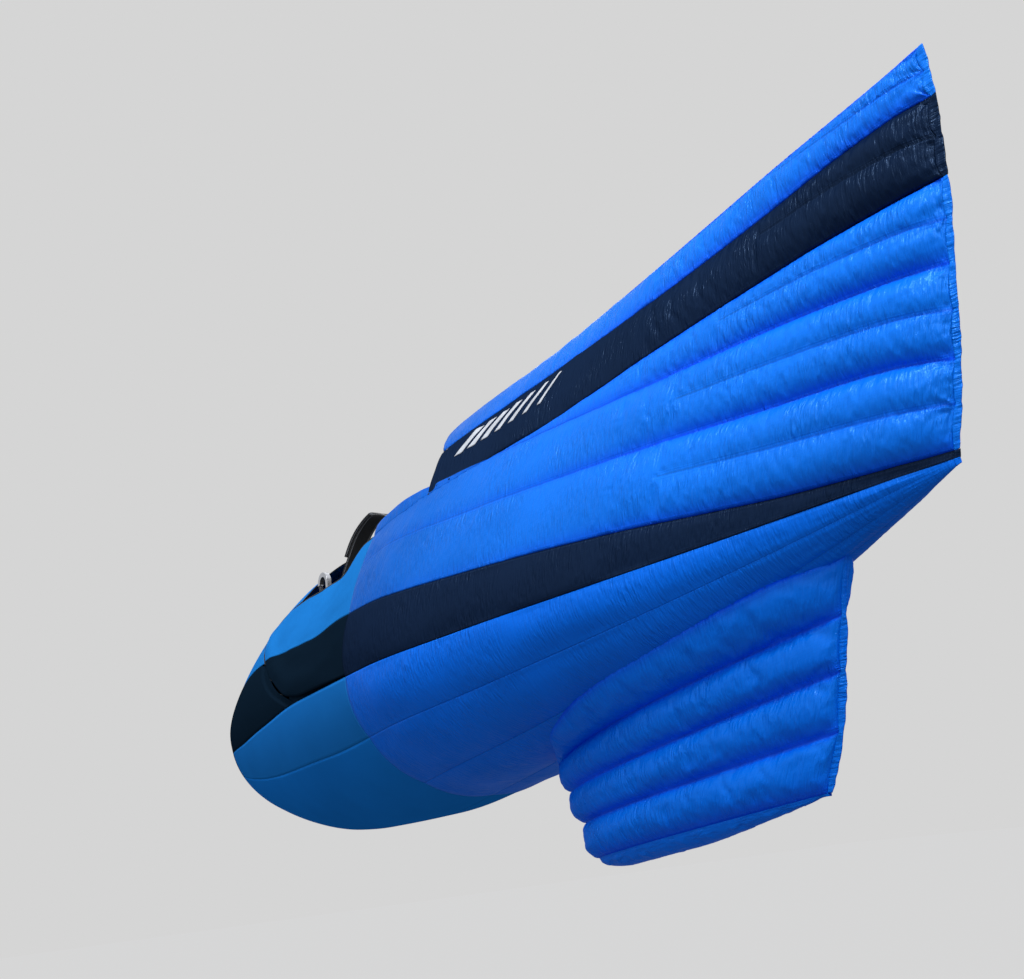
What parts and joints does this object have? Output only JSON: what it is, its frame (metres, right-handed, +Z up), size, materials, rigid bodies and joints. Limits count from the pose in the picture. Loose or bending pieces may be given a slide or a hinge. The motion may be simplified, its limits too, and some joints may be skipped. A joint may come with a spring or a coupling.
{
  "type": "enclosed paraglider race harness",
  "caption": "Enclosed paraglider race harness: a stretch front, an inflated fish-tail fairing and a keel fin round a seat, straps and speed system.",
  "frame": {"origin": "midway between the two riser hang points, at the top bearing of the carabiners", "axes": "+X forward to the nose, +Y to the pilot's left, +Z up in level flight"},
  "size_m": [2.8174, 0.636, 1.0732],
  "materials": {
    "ripstop_blue": "calendered ripstop nylon, satin",
    "ripstop_navy": "calendered ripstop nylon, satin",
    "edge_tape": "folded ripstop binding with a light stitch line",
    "rib_cloth": "thin white ripstop",
    "stretch_blue": "matte stretch jersey",
    "stretch_blue_dark": "matte stretch jersey",
    "stretch_black": "matte stretch jersey",
    "steel": "polished",
    "nylon_rod": "translucent nylon rod",
    "bulkhead_cloth": "coated nylon",
    "seat_fabric": "cordura weave",
    "foam_cover": "padded cordura",
    "webbing_black": "woven polyamide webbing",
    "alloy": "satin anodised",
    "alloy_dark": "dark anodised",
    "plastic_black": "moulded",
    "nylon_red": "moulded",
    "canopy_orange": "folded canopy cloth",
    "cord_yellow": "braided line",
    "acetal": "satin",
    "carbon": "woven carbon plate",
    "deck_fabric": "loop pile"
  },
  "bodies": {
    "harness": {"tail_side_left": "ripstop_blue", "tail_side_right": "ripstop_blue", "dorsal_stripe_left": "ripstop_navy", "dorsal_stripe_right": "ripstop_navy", "dorsal_crown": "ripstop_blue", "side_stripe_left": "ripstop_navy", "side_stripe_right": "ripstop_navy", "belly_side_left": "ripstop_blue", "belly_side_right": "ripstop_blue", "belly_centre": "ripstop_blue", "tail_edge_tape": "edge_tape", "tail_main_ribs": "rib_cloth", "tail_half_ribs": "rib_cloth", "keel_fin_skin": "ripstop_blue", "keel_fin_tip_cap": "ripstop_blue", "keel_fin_ribs": "rib_cloth", "keel_fin_edge_tape": "edge_tape", "front_belly": "stretch_blue_dark", "front_side_left": "stretch_blue", "front_side_right": "stretch_blue", "front_stripe_left": "stretch_black", "front_stripe_right": "stretch_black", "front_deck": "stretch_blue", "nose_cap": "stretch_black", "door_magnets": "steel", "hood_batten": "nylon_rod", "rear_bulkhead": "bulkhead_cloth", "seat_hammock": "seat_fabric", "back_protector": "foam_cover", "neck_pad": "seat_fabric", "shoulder_straps": "webbing_black", "chest_strap": "webbing_black", "leg_straps": "webbing_black", "hang_straps": "webbing_black", "carabiner_left": "alloy", "carabiner_right": "alloy", "gate_rivets": "steel", "chest_buckle_socket": "plastic_black", "chest_buckle_tongue": "alloy", "reserve_container": "seat_fabric", "reserve_parachute": "canopy_orange", "pulley_blocks": "alloy", "deck_bracket": "alloy"},
    "door_left": {"cockpit_door_left": "stretch_blue"},
    "door_right": {"cockpit_door_right": "stretch_blue"},
    "gate_l": {"gate_left": "alloy_dark"},
    "gate_r": {"gate_right": "alloy_dark"},
    "sleeve_l": {"gate_sleeve_left": "plastic_black"},
    "sleeve_r": {"gate_sleeve_right": "plastic_black"},
    "buckle_button": {"chest_buckle_button": "nylon_red"},
    "handle": {"reserve_handle": "nylon_red"},
    "bar": {"speed_bar": "plastic_black", "speed_cords": "cord_yellow"},
    "sheave_l": {"sheave_left": "acetal"},
    "sheave_r": {"sheave_right": "acetal"},
    "foot": {"footplate": "carbon"},
    "deck": {"instrument_deck": "deck_fabric"},
    "flap": {"inlet_flap": "bulkhead_cloth"}
  },
  "joints": [
    {"name": "door_left_swing", "type": "hinge", "parent": "harness", "child": "door_left", "pos_m": [-0.418, 0.341, -0.302], "axis": [0, -0.2968, 0.9549], "range_deg": [0, 60]},
    {"name": "door_right_swing", "type": "hinge", "parent": "harness", "child": "door_right", "pos_m": [-0.418, -0.341, -0.302], "axis": [0, -0.2968, -0.9549], "range_deg": [0, 60]},
    {"name": "gate_left_open", "type": "hinge", "parent": "harness", "child": "gate_l", "pos_m": [0.024, 0.17, -0.076], "axis": [0, -1, 0], "range_deg": [0, 20], "stiffness_Nm_per_rad": 0.02, "springref_deg": -17.19},
    {"name": "sleeve_left_twist", "type": "hinge", "parent": "gate_l", "child": "sleeve_l", "pos_m": [0.024, 0.17, -0.046], "axis": [0, 0, 1], "range_deg": [0, 90]},
    {"name": "gate_right_open", "type": "hinge", "parent": "harness", "child": "gate_r", "pos_m": [0.024, -0.17, -0.076], "axis": [0, -1, 0], "range_deg": [0, 20], "stiffness_Nm_per_rad": 0.02, "springref_deg": -17.19},
    {"name": "sleeve_right_twist", "type": "hinge", "parent": "gate_r", "child": "sleeve_r", "pos_m": [0.024, -0.17, -0.046], "axis": [0, 0, 1], "range_deg": [0, 90]},
    {"name": "button_press", "type": "slide", "parent": "harness", "child": "buckle_button", "axis": [0, 0, -1], "range_m": [0, 0.0025], "stiffness_N_per_m": 400, "springref_m": -0.001},
    {"name": "handle_pull", "type": "slide", "parent": "harness", "child": "handle", "axis": [0, 0, 1], "range_m": [0, 0.1]},
    {"name": "bar_push", "type": "slide", "parent": "harness", "child": "bar", "axis": [1, 0, 0], "range_m": [0, 0.2]},
    {"name": "sheave_left_turn", "type": "hinge", "parent": "harness", "child": "sheave_l", "pos_m": [0.12, 0.222, -0.33], "axis": [0, 1, 0], "range_deg": [0, 880]},
    {"name": "sheave_right_turn", "type": "hinge", "parent": "harness", "child": "sheave_r", "pos_m": [0.12, -0.222, -0.33], "axis": [0, 1, 0], "range_deg": [0, 880]},
    {"name": "footplate_adjust", "type": "slide", "parent": "harness", "child": "foot", "axis": [1, 0, 0], "range_m": [-0.04, 0.04]},
    {"name": "deck_tilt", "type": "hinge", "parent": "harness", "child": "deck", "pos_m": [0.306, 0, -0.048], "axis": [0, 1, 0], "range_deg": [0, 25]},
    {"name": "flap_open", "type": "hinge", "parent": "harness", "child": "flap", "pos_m": [-0.69685, 0, -0.136], "axis": [0, 1, 0], "range_deg": [0, 45]}
  ],
  "couplings": [
    {"joint": "sheave_left_turn", "follows": "bar_push", "rad_per_m": 76.336},
    {"joint": "sheave_right_turn", "follows": "bar_push", "rad_per_m": 76.336}
  ]
}
